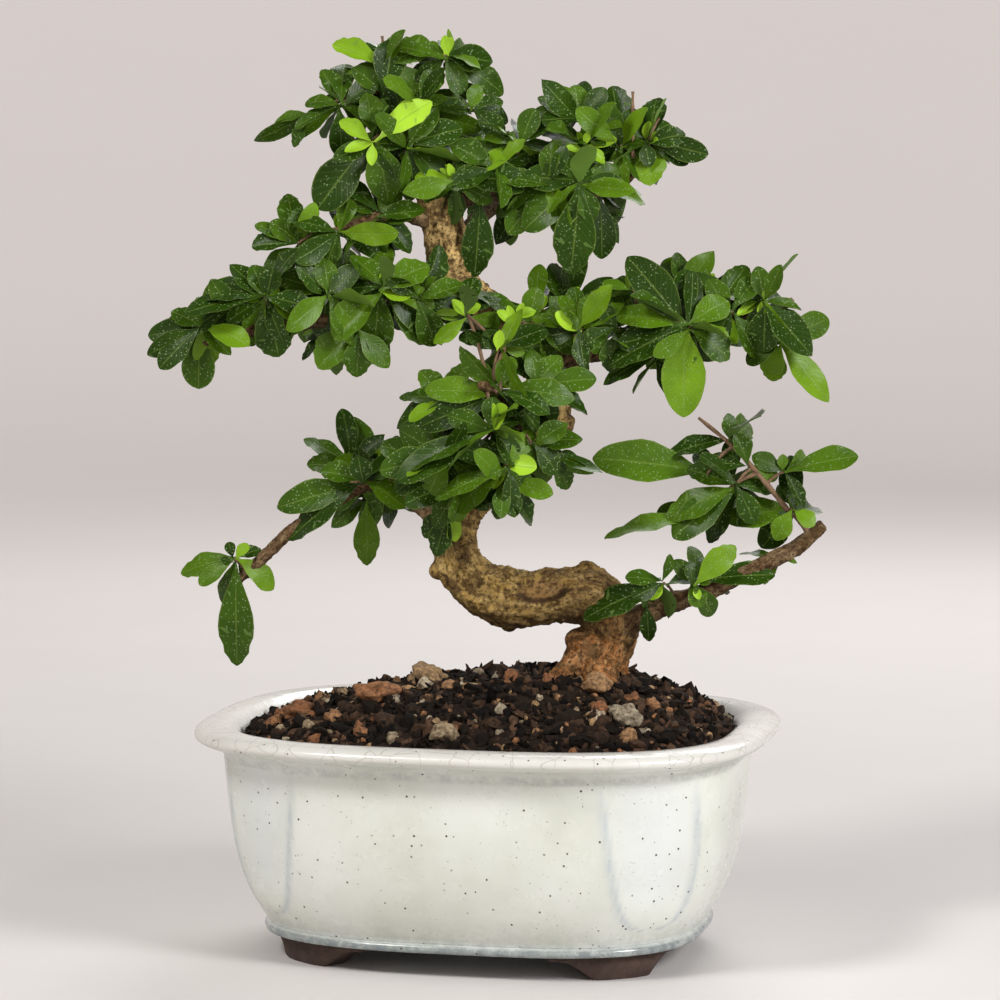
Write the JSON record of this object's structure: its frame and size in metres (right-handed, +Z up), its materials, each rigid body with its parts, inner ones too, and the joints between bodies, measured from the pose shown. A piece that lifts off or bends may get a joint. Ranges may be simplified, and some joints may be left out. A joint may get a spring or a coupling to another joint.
{
  "type": "potted bonsai tree",
  "caption": "Small Fukien tea bonsai: S-curved trunk with branches and leafy shoots, rooted in a soil mound with pebbles, in a cream glazed oval-rectangular pot on bracket feet.",
  "frame": {"origin": "on the table under the middle of the whole bonsai's box", "axes": "+Z up along the tree's height, X along the pot's long side, -Y towards the pot's front"},
  "size_m": [0.2506, 0.1652, 0.3277],
  "materials": {
    "glaze": "glossy cream glaze, speckled, thin and bluish at the base",
    "clay": "unglazed red-brown clay",
    "mesh": "black plastic mesh",
    "soil": "dark bark and grit mix",
    "pebble": "tan porous grit",
    "bark": "tan flaky bark",
    "leaf": "glossy dark green leaves with pale specks"
  },
  "bodies": {
    "root": {"branch_back": "bark", "branch_crown_back": "bark", "branch_crown_left": "bark", "branch_crown_right": "bark", "branch_front": "bark", "branch_low_back": "bark", "branch_low_left": "bark", "branch_low_right": "bark", "branch_mid_left": "bark", "branch_mid_right": "bark", "branch_upper_left": "bark", "drain_mesh_left": "mesh", "drain_mesh_right": "mesh", "foot_back_left": "clay", "foot_back_right": "clay", "foot_front_left": "clay", "foot_front_right": "clay", "pebble_1": "pebble", "pebble_2": "pebble", "pebble_3": "pebble", "pebble_4": "pebble", "pebble_5": "pebble", "pebble_6": "pebble", "pot": "glaze", "shoot_back": "leaf", "shoot_crown_back": "leaf", "shoot_crown_left_back": "leaf", "shoot_crown_left_front": "leaf", "shoot_crown_left_outer": "leaf", "shoot_crown_left_right": "leaf", "shoot_crown_right_back": "leaf", "shoot_crown_right_low": "leaf", "shoot_crown_right_mid": "leaf", "shoot_crown_right_outer": "leaf", "shoot_crown_right_tip": "leaf", "shoot_crown_right_top": "leaf", "shoot_front_low": "leaf", "shoot_front_tip": "leaf", "shoot_front_top": "leaf", "shoot_low_back": "leaf", "shoot_low_left_inner": "leaf", "shoot_low_left_tip": "leaf", "shoot_low_right_inner": "leaf", "shoot_low_right_long": "leaf", "shoot_low_right_tip": "leaf", "shoot_mid_left_back": "leaf", "shoot_mid_left_inner": "leaf", "shoot_mid_left_outer": "leaf", "shoot_mid_left_tip": "leaf", "shoot_mid_left_top": "leaf", "shoot_mid_right_back": "leaf", "shoot_mid_right_inner": "leaf", "shoot_mid_right_mid": "leaf", "shoot_mid_right_outer": "leaf", "shoot_mid_right_tip": "leaf", "shoot_tip": "leaf", "shoot_upper_left": "leaf", "shoot_upper_left_low": "leaf", "soil": "soil", "trunk": "bark"}
  },
  "joints": []
}
